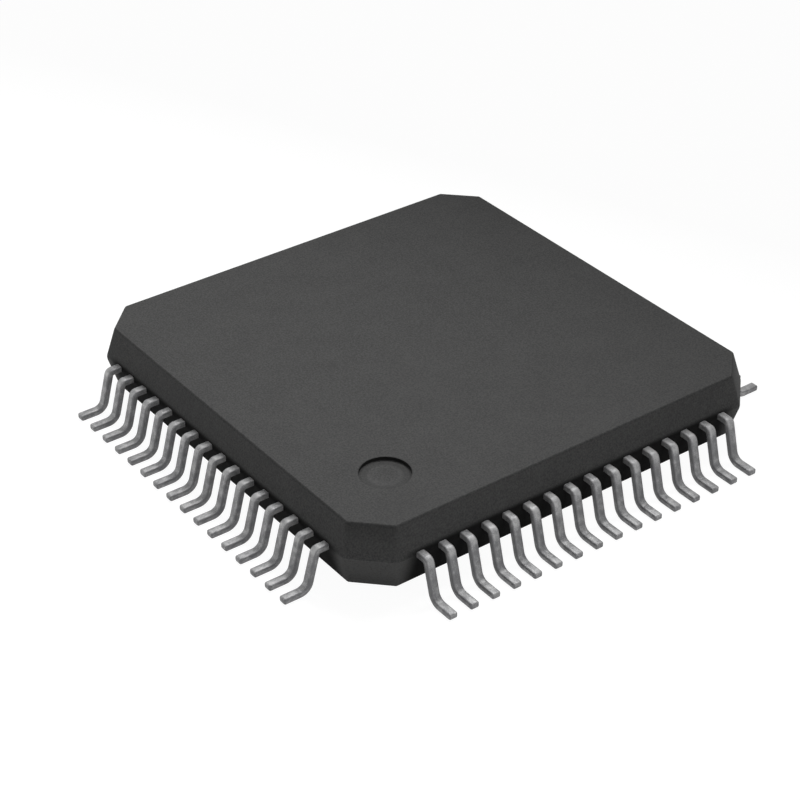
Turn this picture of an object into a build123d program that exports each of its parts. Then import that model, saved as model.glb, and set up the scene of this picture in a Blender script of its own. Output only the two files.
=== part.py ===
from build123d import *
import math
import os

# A 64-lead low-profile quad flat pack: a flat moulded body with gull-wing leads on all four sides.
# The frame is centred on the footprint, +Z is up and the feet of the leads stand on Z = 0.
# The dimple that marks pin 1 is at the -X, -Y corner, and the pins are counted from there
# counter-clockwise seen from above: 1-16 along -Y, 17-32 along +X, 33-48 along +Y, 49-64 along -X.
# The lead frame is stamped flat and formed, the die is glued to its pad and wired to its leads,
# and the compound is moulded round all of it, so the body's hollow is the exact shape of what it holds.

# Rows of leads
pins_per_side = 16
pitch = 0.50
corner_margin = 1.00
lead_width = 0.19
frame_thickness = 0.127

# Gull-wing form outside the body: lengths along the middle of the strip, radii on its upper side
shoulder_length = 0.23
leg_run = 0.22
foot_length = 0.55
knee_radius = 0.15
ankle_radius = 0.17

# Moulded body
body_thickness = 1.41
standoff = 0.18
corner_chamfer = 0.72
wall_draft = 15.0
corner_draft = 17.0
dimple_diameter = 1.00
dimple_depth = 0.07
dimple_from_wall = 1.66

# Lead frame inside the body
straight_length = 0.45
inner_length = 2.05
tip_width = 0.16
tie_width = 0.20
tie_clearance = 0.15
tie_setback = 0.10
tie_flat = 0.15
tie_slope_run = 0.30
pad_gap = 0.30
pad_downset = 0.30

# Die, its adhesive and the bond wires
die_rim = 0.65
die_thickness = 0.28
adhesive_thickness = 0.025
wire_width = 0.03
loop_height = 0.18
bond_inset = 0.10
bond_end_gap = 0.15
stitch_inset = 0.30
stitch_length = 0.12

# The square body repeats one side four times, and a file holds the leads or wires of a few pins
quarter_turns = (0, 90, 180, 270)
pins_per_file = 4

# Places that follow from the sizes above
body_size = pins_per_side * pitch + 2 * corner_margin
body_half = body_size / 2
half_thickness = body_thickness / 2
parting_z = standoff + half_thickness
top_z = standoff + body_thickness
lead_reach = shoulder_length + leg_run + foot_length
lead_top = parting_z + frame_thickness / 2
last_pin = (pins_per_side - 1) / 2
foot_end = -(body_half + lead_reach)
fan_start = -(body_half - straight_length)
tip_ring = body_half - inner_length
last_tip_x = tip_ring - tip_width / 2 - math.sqrt(2) * (tie_width / 2 + tie_clearance)
tip_pitch = last_tip_x / last_pin
pad_half = tip_ring - pad_gap
pad_z = parting_z - pad_downset
die_half = pad_half - die_rim
adhesive_z = pad_z + frame_thickness / 2
die_z = adhesive_z + adhesive_thickness
die_top = die_z + die_thickness
bond_pitch = (die_half - bond_end_gap) / last_pin


def lead_blank(index):
    """Flat outline of one lead of the -Y side, which runs from its foot and fans in to the pad."""
    outside_x = (index - last_pin) * pitch
    inside_x = (index - last_pin) * tip_pitch
    stations = [
        (outside_x, foot_end, lead_width),
        (outside_x, fan_start, lead_width),
        (inside_x, -tip_ring, tip_width),
    ]
    left = [(x - width / 2, y) for x, y, width in stations]
    right = [(x + width / 2, y) for x, y, width in reversed(stations)]
    return make_face(Polyline(*left, *right, close=True))


def formed_sheet():
    """Sheet as wide as the -Y side, bent to the gull-wing form that the forming tool gives the leads."""
    knee = -(body_half + shoulder_length)
    ankle = knee - leg_run
    leg_angle = math.atan2(parting_z - frame_thickness / 2, leg_run)
    mitre = frame_thickness / 2 * math.tan(leg_angle / 2)
    upper_side = FilletPolyline(
        (-tip_ring, lead_top),
        (knee - mitre, lead_top),
        (ankle - mitre, frame_thickness),
        (foot_end, frame_thickness),
        radius=[knee_radius, ankle_radius],
    )
    under_side = FilletPolyline(
        (foot_end, 0),
        (ankle + mitre, 0),
        (knee + mitre, lead_top - frame_thickness),
        radius=ankle_radius + frame_thickness,
    )
    inner_end = Polyline(under_side @ 1, (-tip_ring, lead_top - frame_thickness), upper_side @ 0)
    foot_cut = Line(upper_side @ 1, under_side @ 0)
    profile = make_face([upper_side, foot_cut, under_side, inner_end])
    return extrude(Plane.YZ * profile, amount=body_half, both=True)


def bond_wire(index):
    """Wire of one pin of the -Y side: up from the die, over its edge and down to a wedge on the lead."""
    fan = stitch_inset / (-tip_ring - fan_start)
    lead_x = tip_pitch + fan * (pitch - tip_pitch)
    start = Vector((index - last_pin) * bond_pitch, -(die_half - bond_inset))
    end = Vector((index - last_pin) * lead_x, -(tip_ring + stitch_inset))
    along = end - start
    half = wire_width / 2
    drop = die_top + loop_height - lead_top
    outline = Polyline(
        (-half, die_top),
        (-half, die_top + loop_height),
        (along.length, lead_top),
        (along.length - stitch_length, lead_top),
        (half, lead_top + drop * (1 - (half + stitch_length) / along.length)),
        (half, die_top),
        close=True,
    )
    upright = Plane(origin=(start.X, start.Y, 0), x_dir=along, z_dir=along.cross(Vector(0, 0, 1)))
    return extrude(upright * make_face(outline), amount=half, both=True)


def die_pad():
    """Sunken square pad with its four tie bars, which hold it in the frame until it is moulded in."""
    pad = Pos(0, 0, pad_z) * Box(2 * pad_half, 2 * pad_half, frame_thickness)
    pad_corner = math.sqrt(2) * pad_half
    chamfer_face = math.sqrt(2) * body_half - corner_chamfer / math.sqrt(2)
    run = Polyline(
        (pad_corner - tie_width, 0, pad_z),
        (pad_corner + tie_flat, 0, pad_z),
        (pad_corner + tie_flat + tie_slope_run, 0, parting_z),
        (chamfer_face - tie_setback, 0, parting_z),
    )
    section = Plane(origin=run @ 0, x_dir=(0, 1, 0), z_dir=(1, 0, 0))
    bar = sweep(section * Rectangle(tie_width, frame_thickness), path=run, transition=Transition.RIGHT)
    return pad + [Rot(0, 0, turn + 45) * bar for turn in quarter_turns]


def slab(half_side, bottom_z, thickness):
    """Square slab that lies on a given height."""
    lying = (Align.CENTER, Align.CENTER, Align.MIN)
    return Pos(0, 0, bottom_z) * Box(2 * half_side, 2 * half_side, thickness, align=lying)


def mould_half(width, height, draft):
    """Square block that narrows with its draft from the parting line, up or down."""
    return extrude(Pos(0, 0, parting_z) * Rectangle(width, width), amount=height, taper=draft)


def moulded_block():
    """Outer form of the body: two drafted halves, each cut to eight sides by a turned block."""
    across_corners = math.sqrt(2) * (body_size - corner_chamfer)
    upper, lower = [
        mould_half(body_size, height, wall_draft) & Rot(0, 0, 45) * mould_half(across_corners, height, corner_draft)
        for height in (half_thickness, -half_thickness)
    ]
    mark = dimple_from_wall - body_half
    dimple = Pos(mark, mark, top_z) * Cylinder(dimple_diameter / 2, 2 * dimple_depth)
    return upper + lower - dimple


sheet = formed_sheet()
row_leads = [sheet & extrude(lead_blank(index), amount=top_z, both=True) for index in range(pins_per_side)]
row_wires = [bond_wire(index) for index in range(pins_per_side)]
leads = [Rot(0, 0, turn) * lead for turn in quarter_turns for lead in row_leads]
wires = [Rot(0, 0, turn) * wire for turn in quarter_turns for wire in row_wires]
pad = die_pad()
adhesive = slab(die_half, adhesive_z, adhesive_thickness)
die = slab(die_half, die_z, die_thickness)
body = moulded_block() - [pad, adhesive, die, *leads, *wires]

os.makedirs("parts", exist_ok=True)
export_step(body, "parts/mould_body.step")
export_step(pad, "parts/die_pad.step")
export_step(adhesive, "parts/die_adhesive.step")
export_step(die, "parts/silicon_die.step")
for first in range(0, len(leads), pins_per_file):
    group = slice(first, first + pins_per_file)
    pins = f"{first + 1:02d}_{first + len(leads[group]):02d}"
    export_step(Compound(children=leads[group]), f"parts/leads_{pins}.step")
    export_step(Compound(children=wires[group]), f"parts/bond_wires_{pins}.step")
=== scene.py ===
import bmesh
import bpy
import math
from mathutils import Matrix, Vector


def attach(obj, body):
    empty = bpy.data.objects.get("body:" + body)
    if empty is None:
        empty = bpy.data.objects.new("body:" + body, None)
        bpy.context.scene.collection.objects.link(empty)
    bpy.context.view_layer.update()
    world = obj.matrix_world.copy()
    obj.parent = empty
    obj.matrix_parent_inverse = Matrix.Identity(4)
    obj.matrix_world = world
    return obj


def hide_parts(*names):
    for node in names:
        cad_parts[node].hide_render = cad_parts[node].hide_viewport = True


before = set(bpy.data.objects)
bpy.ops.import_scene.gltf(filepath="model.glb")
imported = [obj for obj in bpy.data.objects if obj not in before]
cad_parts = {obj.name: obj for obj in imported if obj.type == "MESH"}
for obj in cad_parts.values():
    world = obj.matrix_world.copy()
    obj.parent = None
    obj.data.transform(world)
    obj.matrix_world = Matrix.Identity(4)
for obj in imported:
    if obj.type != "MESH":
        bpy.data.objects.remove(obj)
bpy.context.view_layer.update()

# The moulded body. A silica-filled epoxy compound, cast in one shot round the lead frame between two
# mould halves, so its walls draw away from a parting line at mid-height. The spark-eroded mould leaves
# a fine grain all over it, and a dimple marks pin 1. Shade is painted into its colour, almost black between
# the roots of the leads and dark in the dimple and on the edge roundings; a highlight is painted along
# its top rim and parting line, and its lower half is painted lighter, as light from the floor.
MM = 0.001
BODY_SIZE = 10.0 * MM
BODY_THICKNESS = 1.41 * MM
STANDOFF = 0.18 * MM
CORNER_CHAMFER = 0.72 * MM
WALL_DRAFT = math.radians(15)
CORNER_DRAFT = math.radians(17)
BODY_EDGE = 0.050 * MM
DIMPLE_WIDTH = 1.0 * MM
DIMPLE_DEPTH = 0.07 * MM
DIMPLE_EDGE = 0.010 * MM
DIMPLE_PLACE = -BODY_SIZE / 2 + 1.66 * MM
PARTING = STANDOFF + BODY_THICKNESS / 2
BODY_TOP = STANDOFF + BODY_THICKNESS
DIMPLE_MIDDLE = (DIMPLE_PLACE, DIMPLE_PLACE, BODY_TOP)
PINS_PER_SIDE = 16
PITCH = 0.50 * MM
LAST_LEAD = (PINS_PER_SIDE - 1) / 2 * PITCH
GRAIN_SIZE = 0.034 * MM
GRAIN_DEPTH = 0.004 * MM
CLOUD_SIZE = 0.8 * MM
CHARCOAL_PAINTED_SHADE = (0.008, 0.008, 0.008, 1)
CHARCOAL = (0.040, 0.040, 0.040, 1)
CHARCOAL_PALE = (0.072, 0.072, 0.071, 1)
CHARCOAL_RUBBED_HIGHLIGHT = (0.110, 0.110, 0.109, 1)


def deselect_all():
    if bpy.context.object and bpy.context.object.mode != "OBJECT":
        bpy.ops.object.mode_set(mode="OBJECT")
    bpy.ops.object.select_all(action="DESELECT")


def take_up(piece):
    """Makes the piece the only one selected, and the active one."""
    deselect_all()
    piece.select_set(True)
    bpy.context.view_layer.objects.active = piece


def settle(piece):
    """Leaves the piece's object at the origin, unturned and unscaled, with its place in its mesh."""
    take_up(piece)
    bpy.ops.object.transform_apply(location=True, rotation=True, scale=True)


def pick_faces(piece, test):
    """Goes into edit mode with only those faces selected that pass the test."""
    take_up(piece)
    bpy.ops.object.mode_set(mode="EDIT")
    bpy.ops.mesh.select_mode(type="FACE")
    bpy.ops.mesh.select_all(action="DESELECT")
    mesh = bmesh.from_edit_mesh(piece.data)
    for face in mesh.faces:
        face.select_set(bool(test(face)))
    bmesh.update_edit_mesh(piece.data)


def apply_modifier(piece, kind, **settings):
    take_up(piece)
    modifier = piece.modifiers.new(kind.title(), kind)
    for name, value in settings.items():
        setattr(modifier, name, value)
    bpy.ops.object.modifier_apply(modifier=modifier.name)


def smooth_faces(piece, angle):
    """Shades the roundings smooth and keeps the flats flat."""
    take_up(piece)
    bpy.ops.object.shade_smooth_by_angle(angle=angle)
    apply_modifier(piece, "WEIGHTED_NORMAL", keep_sharp=True)


half_height = BODY_THICKNESS / 2
draw = half_height * math.tan(WALL_DRAFT)
mould_edge = {"limit_method": "ANGLE", "angle_limit": math.radians(20)}
dimple_edge = {"limit_method": "ANGLE", "angle_limit": math.radians(60)}
deselect_all()
bpy.ops.mesh.primitive_plane_add(size=BODY_SIZE, location=(0, 0, PARTING))
body = bpy.context.object
body.name = "moulded_body"
settle(body)
pick_faces(body, lambda face: True)
bpy.ops.mesh.inset(thickness=draw, depth=half_height)
bpy.ops.mesh.select_mode(type="EDGE")
bpy.ops.mesh.select_all(action="DESELECT")
bpy.ops.mesh.select_non_manifold()
bpy.ops.mesh.edge_face_add()
bpy.ops.mesh.select_all(action="SELECT")
bpy.ops.mesh.normals_make_consistent(inside=False)
pick_faces(body, lambda face: face.normal.z < -0.99)
bpy.ops.mesh.inset(thickness=draw, depth=half_height)
corner_x = (BODY_SIZE - CORNER_CHAMFER) / 2
for corner in range(4):
    outwards = Matrix.Rotation(math.radians(45 + 90 * corner), 3, "Z")
    for half in (1, -1):
        bpy.ops.mesh.select_all(action="SELECT")
        bpy.ops.mesh.bisect(
            plane_co=outwards @ Vector((math.sqrt(2) * corner_x, 0, PARTING)),
            plane_no=outwards @ Vector((math.cos(CORNER_DRAFT), 0, half * math.sin(CORNER_DRAFT))),
            use_fill=True,
            clear_outer=True,
        )
apply_modifier(body, "BEVEL", width=BODY_EDGE, segments=3, **mould_edge)

deselect_all()
bpy.ops.mesh.primitive_cylinder_add(
    vertices=96, radius=DIMPLE_WIDTH / 2, depth=2 * DIMPLE_DEPTH, location=DIMPLE_MIDDLE
)
dimple = bpy.context.object
settle(dimple)
apply_modifier(body, "BOOLEAN", object=dimple, operation="DIFFERENCE", solver="EXACT")
bpy.data.objects.remove(dimple)
apply_modifier(body, "BEVEL", width=DIMPLE_EDGE, segments=2, **dimple_edge)
smooth_faces(body, math.radians(40))


class Shade:
    """A value at each point of a surface. Sums on it are written as they are on numbers."""

    def __init__(self, tree, socket):
        self.tree = tree
        self.socket = socket

    def node(self, kind, settings, sockets, output=0):
        """Adds a node of this kind, with its settings first and then its sockets, and returns its output."""
        made = self.tree.nodes.new(kind)
        for name, value in settings.items():
            setattr(made, name, value)
        for key, value in sockets.items():
            if isinstance(value, Shade):
                self.tree.links.new(value.socket, made.inputs[key])
            else:
                made.inputs[key].default_value = value
        return Shade(self.tree, made.outputs[output]) if made.outputs else None

    def sum(self, operation, first, second):
        return self.node("ShaderNodeMath", {"operation": operation}, {0: first, 1: second})

    def __add__(self, other):
        return self.sum("ADD", self, other)

    def __sub__(self, other):
        return self.sum("SUBTRACT", self, other)

    def __rsub__(self, other):
        return self.sum("SUBTRACT", other, self)

    def __mul__(self, other):
        return self.sum("MULTIPLY", self, other)

    def __abs__(self):
        return self.sum("ABSOLUTE", self, 0.0)

    __radd__ = __add__
    __rmul__ = __mul__

    def larger(self, other):
        return self.sum("MAXIMUM", self, other)

    def smaller(self, other):
        return self.sum("MINIMUM", self, other)

    def through(self, step):
        """How far self is through each step of this length, from 0 to 1."""
        return self.sum("FRACT", self * (1 / step), 0.0)

    def distance(self, point):
        return self.node("ShaderNodeVectorMath", {"operation": "DISTANCE"}, {0: self, 1: point}, "Value")

    def rise(self, low, high):
        """A smooth step from 0 at low to 1 at high. It falls where low is the larger."""
        ends = {0: self, 1: low, 2: high, 3: 0.0, 4: 1.0}
        return self.node("ShaderNodeMapRange", {"interpolation_type": "SMOOTHSTEP"}, ends)

    def noise(self, size, detail=2.0, stretch=(1, 1, 1)):
        """Cloudy noise from 0 to 1 whose spots are about this size, with self as the coordinates."""
        scale = [1 / (size * s) for s in stretch]
        spread = self.node("ShaderNodeVectorMath", {"operation": "MULTIPLY"}, {0: self, 1: scale})
        return self.node("ShaderNodeTexNoise", {}, {"Vector": spread, "Scale": 1.0, "Detail": detail})

    def axis(self, letter):
        return self.node("ShaderNodeSeparateXYZ", {}, {0: self}, letter)

    def between(self, first, second):
        """The first colour where self is 0 and the second where it is 1."""
        return self.node("ShaderNodeMix", {"data_type": "RGBA"}, {0: self, 6: first, 7: second}, 2)


def new_finish(name, **constants):
    """A material with these values on its shader. Returns it with the object's coordinates and normal."""
    finish = bpy.data.materials.new(name)
    finish.use_nodes = True
    shader = finish.node_tree.nodes["Principled BSDF"]
    for key, value in constants.items():
        shader.inputs[key.replace("_", " ")].default_value = value
    coordinates = finish.node_tree.nodes.new("ShaderNodeTexCoord")
    place = Shade(finish.node_tree, coordinates.outputs["Object"])
    facing = Shade(finish.node_tree, coordinates.outputs["Normal"])
    return finish, place, facing


def connect(finish, height=None, depth=0.0, **sockets):
    """Links what varies to the shader's sockets, and a height, this deep, to its normal through a bump."""
    shader = finish.node_tree.nodes["Principled BSDF"]
    if height:
        relief = {"Strength": 1.0, "Distance": depth, "Height": height}
        sockets["Normal"] = height.node("ShaderNodeBump", {}, relief)
    for key, value in sockets.items():
        finish.node_tree.links.new(value.socket, shader.inputs[key.replace("_", " ")])


compound, place, facing = new_finish("moulding_compound", Specular_IOR_Level=0.08)
grain = place.noise(GRAIN_SIZE, 2)
cloud = place.noise(CLOUD_SIZE, 3)
height = place.axis("Z")
upward = abs(facing.axis("Z"))
top_rim = upward.rise(0.90, 0.94) * upward.rise(0.999, 0.99)
# Shade is painted as a darker line on the middle of the edge roundings.
rounding_painted_shade = upward.rise(0.30, 0.42) * upward.rise(0.90, 0.78)
parting_line = abs(height - PARTING).rise(0.016 * MM, 0.006 * MM)
# Below the parting line the colour is painted lighter, as light from the floor; the rest of the mottle is
# the compound's own random tone.
floor_lit_lower_half = height.rise(PARTING + 0.004 * MM, PARTING - 0.004 * MM)
mottle_and_floor_light = (grain - 0.5) * 1.7 + (cloud - 0.5) * 0.3 + 0.5 + floor_lit_lower_half * 0.3
# A pale tone is painted on the top rim's rounding and along the parting line, as both rubbing and a painted
# highlight from the light these edges catch.
worn_and_highlight = (top_rim * 0.25).larger(parting_line * 0.3) * (grain * 0.8 + 0.4)
# Shade is painted into the dimple: its wall dark, and its floor darker near the wall.
dimple_out = place.distance(DIMPLE_MIDDLE) - DIMPLE_WIDTH / 2
dimple_rim = dimple_out.rise(-0.20 * MM, -0.12 * MM) * dimple_out.rise(0.030 * MM, 0.005 * MM)
dimple_corner = dimple_out.rise(-0.06 * MM, -0.02 * MM)
# Shade is painted on the walls between the roots of the leads, below the parting line, in a near-black
# colour.
beside_row = abs(place.axis("X")).smaller(abs(place.axis("Y")))
along_roots = beside_row.rise(LAST_LEAD + 0.46 * MM, LAST_LEAD - 0.02 * MM)
below_roots = height.rise(PARTING + 0.16 * MM, PARTING + 0.05 * MM)
root_painted_shade = along_roots * below_roots * upward.rise(0.6, 0.4)
dimple_shade = dimple_rim * (1 - upward.rise(0.4, 0.8) * (0.70 - dimple_corner * 0.14))
shaded = dimple_shade.larger(rounding_painted_shade * 0.2).larger(root_painted_shade * 0.97)
skin = worn_and_highlight.between(mottle_and_floor_light.rise(0, 1).between(CHARCOAL, CHARCOAL_PALE), CHARCOAL_RUBBED_HIGHLIGHT)
connect(
    compound,
    height=grain + cloud * 0.15,
    depth=GRAIN_DEPTH,
    Base_Color=shaded.between(skin, CHARCOAL_PAINTED_SHADE),
    Roughness=0.66 + grain * 0.16 - worn_and_highlight * 0.08 + root_painted_shade * 0.3,
)
body.data.materials.append(compound)
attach(body, "root")
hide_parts("mould_body")

# The leads, sixteen a side, stamped from thin copper alloy and bent to the gull-wing shape after moulding.
# Outside the body they have matt tin, with shade painted on the sheared sides, the edge roundings, the legs
# and the cut toe ends, and a highlight painted on the knees.
# Inside it they fan in towards the die, bare but for a silver spot at the tip for the wire.
PINS_PER_PIECE = 4
LEAD_WIDTH = 0.19 * MM
STRIP = 0.127 * MM
SHOULDER = 0.23 * MM
LEG_RUN = 0.22 * MM
FOOT = 0.55 * MM
KNEE_RADIUS = 0.15 * MM - STRIP / 2
ANKLE_RADIUS = 0.17 * MM + STRIP / 2
LEAD_EDGE = 0.036 * MM
FAN_START = -(BODY_SIZE / 2 - 0.45 * MM)
TIP_RING = -(BODY_SIZE / 2 - 2.05 * MM)
TIP_WIDTH = 0.16 * MM
TIE_WIDTH = 0.20 * MM
TIE_CLEARANCE = 0.15 * MM
SPOT_LENGTH = 0.50 * MM
CRYSTAL_SIZE = 0.020 * MM
BLOTCH_SIZE = 0.15 * MM
STREAK_WIDTH = 0.024 * MM
STREAK_STRETCH = 9
PLATING_DEPTH = 0.003 * MM
TIN = (0.39, 0.39, 0.39, 1)
TIN_DULL_AND_SHADE = (0.15, 0.15, 0.155, 1)
COPPER_ALLOY = (0.72, 0.44, 0.28, 1)
SILVER = (0.80, 0.79, 0.76, 1)


def draw_out(*way):
    """Draws the selected end face out by this much."""
    bpy.ops.mesh.extrude_region_move(TRANSFORM_OT_translate={"value": way})


def bend(centre_y, centre_z, angle, steps):
    """Bends the strip on from its selected end face, round an axis along X, down for a positive angle."""
    bpy.ops.mesh.spin(steps=steps, angle=-angle, center=(0, centre_y, centre_z), axis=(1, 0, 0))


def at_inner_end(face):
    return face.normal.y > 0.99 and face.calc_center_median().y > FAN_START - LEAD_EDGE


knee_y = -(BODY_SIZE / 2 + SHOULDER)
ankle_y = knee_y - LEG_RUN
drop = PARTING - STRIP / 2
leg_angle = math.atan2(drop, LEG_RUN)
knee_tangent = KNEE_RADIUS * math.tan(leg_angle / 2)
ankle_tangent = ANKLE_RADIUS * math.tan(leg_angle / 2)
leg = math.hypot(drop, LEG_RUN) - knee_tangent - ankle_tangent
deselect_all()
bpy.ops.mesh.primitive_plane_add(size=1, location=(0, FAN_START, PARTING), rotation=(math.radians(90), 0, 0))
gull_wing = bpy.context.object
gull_wing.scale = (LEAD_WIDTH, STRIP, 1)
settle(gull_wing)
pick_faces(gull_wing, lambda face: True)
draw_out(0, knee_y + knee_tangent - FAN_START, 0)
bend(knee_y + knee_tangent, PARTING - KNEE_RADIUS, leg_angle, 8)
draw_out(0, -leg * math.cos(leg_angle), -leg * math.sin(leg_angle))
bend(ankle_y - ankle_tangent, STRIP / 2 + ANKLE_RADIUS, -leg_angle, 10)
draw_out(0, ankle_tangent - FOOT, 0)
bpy.ops.mesh.select_all(action="SELECT")
bpy.ops.mesh.normals_make_consistent(inside=False)
stamped_edge = {"limit_method": "ANGLE", "angle_limit": math.radians(40)}
apply_modifier(gull_wing, "BEVEL", width=LEAD_EDGE, segments=3, **stamped_edge)

last_tip_x = -TIP_RING - TIP_WIDTH / 2 - math.sqrt(2) * (TIE_WIDTH / 2 + TIE_CLEARANCE)
tip_pitch = last_tip_x / (PINS_PER_SIDE - 1) * 2
knee_out = BODY_SIZE / 2 + SHOULDER
ankle_out = knee_out + LEG_RUN
toe_out = ankle_out + FOOT
tin, place, facing = new_finish("matt_tin_plating", Specular_IOR_Level=0.3)
across_x, across_y = abs(place.axis("X")), abs(place.axis("Y"))
from_middle = across_x.larger(across_y)
on_y_side = (across_y - across_x).rise(0, 0.01 * MM)
crystals = place.noise(CRYSTAL_SIZE, 3)
tarnish = place.noise(BLOTCH_SIZE, 2)
drawn_y = place.noise(STREAK_WIDTH, 2, stretch=(1, STREAK_STRETCH, STREAK_STRETCH))
drawn_x = place.noise(STREAK_WIDTH, 2, stretch=(STREAK_STRETCH, 1, STREAK_STRETCH))
streaks = drawn_y * on_y_side + drawn_x * (1 - on_y_side)
beside_x, beside_y = abs(facing.axis("X")), abs(facing.axis("Y"))
beside = beside_x * on_y_side + beside_y * (1 - on_y_side)
# Shade is painted on the sides of the leads and, as a dark outline, on their edge roundings.
side_painted_shade = beside.rise(0.30, 0.85)
edge_painted_shade = beside.rise(0.10, 0.45) * beside.rise(0.995, 0.90)
height = place.axis("Z")
# A highlight is painted on the knees of the leads.
knee_painted_highlight = height.rise(PARTING - 0.10 * MM, PARTING - 0.02 * MM)
# Shade is painted on the legs and ankles, deeper on the rows along Y than on the rows along X.
above_foot = from_middle.rise(ankle_out + 0.13 * MM, ankle_out + 0.04 * MM)
below_knee = height.rise(PARTING - 0.08 * MM, PARTING - 0.18 * MM)
leg_painted_shade = above_foot * below_knee * (on_y_side * 0.17 + 0.06)
# Shade is painted on the cut end faces of the toes.
toe_painted_shade = from_middle.rise(toe_out - 0.012 * MM, toe_out - 0.003 * MM)
outside = from_middle.rise(BODY_SIZE / 2 - 0.12 * MM, BODY_SIZE / 2 - 0.08 * MM)
spot = from_middle.rise(SPOT_LENGTH - TIP_RING, SPOT_LENGTH - 0.02 * MM - TIP_RING)
blotches = (streaks - 0.5) * 0.4 + (tarnish - 0.5) * 1.2 + (crystals - 0.5) * 0.9 + 0.5
bright = blotches + knee_painted_highlight * 0.12 - leg_painted_shade - toe_painted_shade * 0.20 - side_painted_shade * 0.15 - edge_painted_shade * 0.22
bare = spot.between(COPPER_ALLOY, SILVER)
connect(
    tin,
    height=crystals + tarnish + streaks * 0.5,
    depth=PLATING_DEPTH,
    Base_Color=outside.between(bare, bright.rise(0, 1).between(TIN_DULL_AND_SHADE, TIN)),
    Metallic=1.0 - outside * 0.58,
    Roughness=0.40 + crystals * 0.14 + tarnish * 0.08,
)
for group in range(PINS_PER_SIDE // PINS_PER_PIECE):
    strips = []
    for index in range(group * PINS_PER_PIECE, (group + 1) * PINS_PER_PIECE):
        take_up(gull_wing)
        bpy.ops.object.duplicate(linked=False)
        strip = bpy.context.object
        row = index - (PINS_PER_SIDE - 1) / 2
        strip.location.x = row * PITCH
        settle(strip)
        pick_faces(strip, at_inner_end)
        draw_out(row * (tip_pitch - PITCH), TIP_RING - FAN_START, 0)
        bpy.ops.transform.resize(
            value=(TIP_WIDTH / LEAD_WIDTH, 1, 1), center_override=(row * tip_pitch, TIP_RING, PARTING)
        )
        strips.append(strip)
    deselect_all()
    for strip in strips:
        strip.select_set(True)
    bpy.context.view_layer.objects.active = strips[0]
    bpy.ops.object.join()
    first_side = bpy.context.object
    smooth_faces(first_side, math.radians(35))
    first_side.data.materials.append(tin)
    for side in range(4):
        row_piece = first_side
        if side:
            take_up(first_side)
            bpy.ops.object.duplicate(linked=False)
            row_piece = bpy.context.object
            row_piece.rotation_euler.z = math.radians(90 * side)
            settle(row_piece)
        pin = side * PINS_PER_SIDE + group * PINS_PER_PIECE + 1
        pins = f"{pin:02d}_{pin + PINS_PER_PIECE - 1:02d}"
        row_piece.name = f"plated_leads_{pins}"
        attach(row_piece, "root")
        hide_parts(f"leads_{pins}")
bpy.data.objects.remove(gull_wing)

# The sunken pad and its four tie bars, one piece of the same stamped copper alloy. The bars held it in
# the frame until it was moulded in. It keeps its exact form from the frame, so it only needs its finish.
COPPER_DARK = (0.55, 0.30, 0.17, 1)
ROLLING_WIDTH = 0.03 * MM
ROLLING_DEPTH = 0.002 * MM
STAIN_SIZE = 0.9 * MM
alloy, place, _ = new_finish("bare_copper_alloy", Metallic=1.0)
rolling = place.noise(ROLLING_WIDTH, 3, stretch=(14, 1, 1))
stain = place.noise(STAIN_SIZE, 3)
connect(
    alloy,
    height=rolling,
    depth=ROLLING_DEPTH,
    Base_Color=(rolling * 0.5 + stain * 0.7 - 0.1).rise(0, 1).between(COPPER_DARK, COPPER_ALLOY),
    Roughness=0.26 + rolling * 0.16,
)


def dress(node, finish):
    """Gives a piece of the frame its finish, in place of the plain one that it came with."""
    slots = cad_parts[node].data.materials
    slots.clear()
    slots.append(finish)


dress("die_pad", alloy)

# The layer of silver-filled epoxy that glues the die to the pad. Its flakes give it a grey, patchy gloss.
EPOXY_GREY = (0.30, 0.30, 0.31, 1)
EPOXY_FLAKE = (0.58, 0.58, 0.57, 1)
FLAKE_SIZE = 0.018 * MM
FLAKE_DEPTH = 0.003 * MM
epoxy, place, _ = new_finish("silver_filled_epoxy", Metallic=0.6)
flakes = place.noise(FLAKE_SIZE, 2)
connect(
    epoxy,
    height=flakes,
    depth=FLAKE_DEPTH,
    Base_Color=flakes.rise(0.45, 0.62).between(EPOXY_GREY, EPOXY_FLAKE),
    Roughness=0.35 + flakes * 0.25,
)
dress("die_adhesive", epoxy)

# The silicon die. Sawn square from a polished wafer, with a row of aluminium bond pads round its rim and
# blocks of circuitry inside them, which show as faint patches of colour.
DIE_HALF = 2.0 * MM
BOND_INSET = 0.10 * MM
BOND_END_GAP = 0.15 * MM
BLOCK_SIZE = 1.0 * MM
POLISH_SIZE = 0.02 * MM
POLISH_DEPTH = 0.0005 * MM
SILICON = (0.060, 0.066, 0.078, 1)
CIRCUIT = (0.145, 0.120, 0.135, 1)
ALUMINIUM = (0.78, 0.78, 0.79, 1)
wafer, place, facing = new_finish("silicon", Metallic=0.35)
bond_pitch = (DIE_HALF - BOND_END_GAP) / ((PINS_PER_SIDE - 1) / 2)
across, along = abs(place.axis("X")), abs(place.axis("Y"))
rim = across.larger(along)
beside = across.smaller(along)
polish = place.noise(POLISH_SIZE, 2)
upper = facing.axis("Z").rise(0.5, 0.9)
pad_row = abs(rim - (DIE_HALF - BOND_INSET)).rise(0.036 * MM, 0.030 * MM)
pads = pad_row * abs(beside.through(bond_pitch) - 0.5).rise(0.16, 0.13) * upper
blocks = place.node(
    "ShaderNodeTexBrick",
    {"offset": 0.35, "squash": 0.7},
    {
        "Vector": place,
        "Color1": SILICON,
        "Color2": CIRCUIT,
        "Mortar": SILICON,
        "Scale": 1 / BLOCK_SIZE,
        "Mortar Size": 0.02,
        "Brick Width": 0.9,
        "Row Height": 0.55,
    },
)
inner = rim.rise(DIE_HALF - 0.24 * MM, DIE_HALF - 0.26 * MM) * upper
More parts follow.
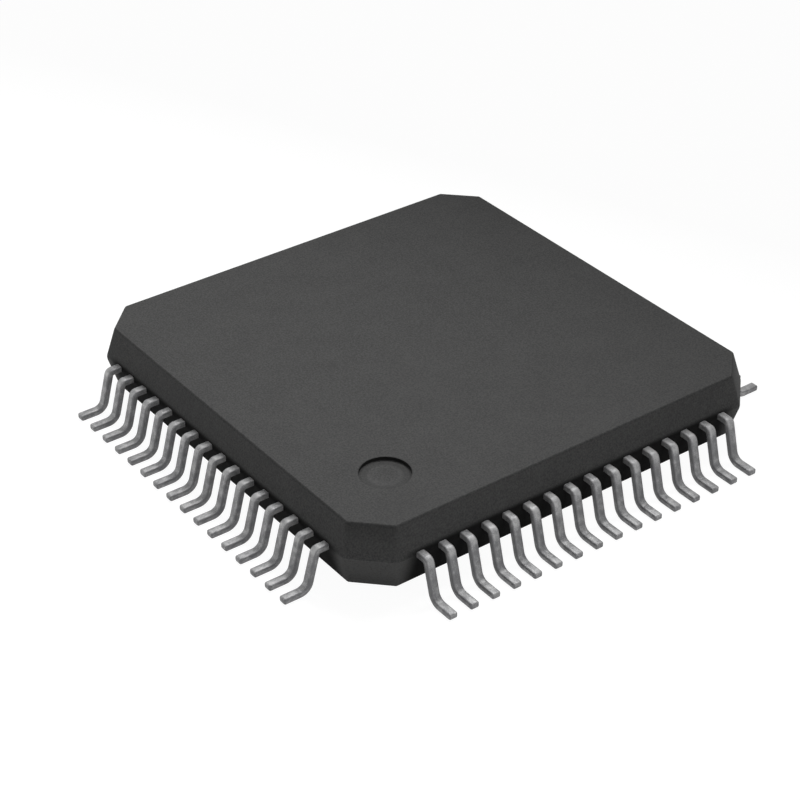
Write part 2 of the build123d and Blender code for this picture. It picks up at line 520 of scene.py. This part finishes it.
connect(
    wafer,
    height=polish,
    depth=POLISH_DEPTH,
    Base_Color=pads.between(inner.between(SILICON, blocks), ALUMINIUM),
    Roughness=0.20 + polish * 0.12,
)
dress("silicon_die", wafer)

# The bond wires, thin gold, welded to the die's pads and led over its edge to the tips of the leads.
GOLD = (0.94, 0.66, 0.25, 1)
GOLD_DEEP = (0.80, 0.50, 0.16, 1)
DRAWING_SIZE = 0.012 * MM
DRAWING_DEPTH = 0.0006 * MM
gold, place, _ = new_finish("gold_wire", Metallic=1.0)
drawing = place.noise(DRAWING_SIZE, 2)
connect(
    gold,
    height=drawing,
    depth=DRAWING_DEPTH,
    Base_Color=drawing.between(GOLD_DEEP, GOLD),
    Roughness=0.18 + drawing * 0.12,
)
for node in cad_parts:
    if node.startswith("bond_wires"):
        dress(node, gold)

# The stage: a plain white floor under the feet, a soft lamp high behind that is turned to the left, three
# weaker ones low down all round, and a camera at the photograph's angle. To the eye and in reflections
# the floor and the world glow white; as a source of light the world is dim and the floor white paper.
FLOOR_SIZE = 600 * MM
FLOOR_GAP = 0.004 * MM
FLOOR_SEEN = (0.14, 0.14, 0.14, 1)
FLOOR_WHITE = (0.90, 0.90, 0.90, 1)
FLOOR_GLOW = 0.95
SKY_LIGHT = 0.15


def stage_tree(tree):
    tree.nodes.clear()
    rays = tree.nodes.new("ShaderNodeLightPath")
    camera_ray, glossy_ray, clear_ray = (
        Shade(tree, rays.outputs[name]) for name in ("Is Camera Ray", "Is Glossy Ray", "Is Transmission Ray")
    )
    return camera_ray.larger(glossy_ray).larger(clear_ray)


deselect_all()
bpy.ops.mesh.primitive_plane_add(size=FLOOR_SIZE, location=(0, 0, -FLOOR_GAP))
floor = bpy.context.object
floor.name = "floor"
settle(floor)
paper = bpy.data.materials.new("white_paper")
paper.use_nodes = True
seen = stage_tree(paper.node_tree)
matt = seen.node("ShaderNodeBsdfDiffuse", {}, {"Color": seen.between(FLOOR_WHITE, FLOOR_SEEN)})
glow = seen.node("ShaderNodeEmission", {}, {"Color": (1, 1, 1, 1), "Strength": seen * FLOOR_GLOW})
both = seen.node("ShaderNodeAddShader", {}, {0: matt, 1: glow})
clear = seen.node("ShaderNodeBsdfTransparent", {}, {})
under = seen.node("ShaderNodeNewGeometry", {}, {}, "Backfacing")
sheet = seen.node("ShaderNodeMixShader", {}, {0: under, 1: both, 2: clear})
seen.node("ShaderNodeOutputMaterial", {}, {0: sheet})
floor.data.materials.append(paper)

world = bpy.data.worlds.new("studio")
bpy.context.scene.world = world
world.use_nodes = True
seen = stage_tree(world.node_tree)
sky = seen.node("ShaderNodeBackground", {}, {0: (1, 1, 1, 1), 1: seen * (1 - SKY_LIGHT) + SKY_LIGHT})
seen.node("ShaderNodeOutputWorld", {}, {0: sky})


def direction(azimuth, elevation):
    """From the chip outwards, in degrees round from the front and up from the floor."""
    a, e = math.radians(azimuth), math.radians(elevation)
    return Vector((math.sin(a) * math.cos(e), -math.cos(a) * math.cos(e), math.sin(e)))


def softbox(name, size, distance, azimuth, elevation, light, aim=(0, 0, 0)):
    """A square lamp turned to its aim. White paper at the chip, turned to it, shows this share of white."""
    lamp = bpy.data.objects.new(name, bpy.data.lights.new(name, "AREA"))
    back = direction(azimuth, elevation)
    axis = (back * distance - Vector(aim)).normalized()
    lamp.data.size = size
    lamp.data.energy = light * math.pi**2 * distance**2 / axis.dot(back)
    lamp.location = back * distance
    lamp.rotation_mode = "QUATERNION"
    lamp.rotation_quaternion = axis.to_track_quat("Z", "Y")
    bpy.context.scene.collection.objects.link(lamp)


softbox("overhead", 24 * MM, 30 * MM, 135, 69, 0.72, aim=(-84 * MM, -32 * MM, 28 * MM))
softbox("left", 16 * MM, 80 * MM, -134, 5, 0.16)
softbox("right", 40 * MM, 80 * MM, 0, 5, 0.26)
softbox("front", 40 * MM, 80 * MM, -45, 6, 0.06)

CAMERA_AZIMUTH = -36.285
CAMERA_ELEVATION = 33.608
CAMERA_ROLL = math.radians(-0.276)
CAMERA_DISTANCE = 44.426 * MM
CAMERA_AIM = Vector((0, 0, 0.8 * MM))
AIM_RIGHT = -0.4292 * MM
AIM_UP = -0.5816 * MM
FOCAL_LENGTH = 96.548
SENSOR_WIDTH = 36
back = direction(CAMERA_AZIMUTH, CAMERA_ELEVATION)
level = Vector((0, 0, 1)).cross(back).normalized()
upright = back.cross(level)
right = level * math.cos(CAMERA_ROLL) + upright * math.sin(CAMERA_ROLL)
up = upright * math.cos(CAMERA_ROLL) - level * math.sin(CAMERA_ROLL)
camera = bpy.data.objects.new("camera", bpy.data.cameras.new("camera"))
camera.data.sensor_width = SENSOR_WIDTH
camera.data.lens = FOCAL_LENGTH
camera.data.clip_start = 1 * MM
camera.data.clip_end = 10
eye = CAMERA_AIM + right * AIM_RIGHT + up * AIM_UP + back * CAMERA_DISTANCE
camera.matrix_world = Matrix.Translation(eye) @ Matrix((right, up, back)).transposed().to_4x4()
bpy.context.scene.collection.objects.link(camera)
bpy.context.scene.camera = camera
bpy.context.scene.view_settings.view_transform = "Standard"
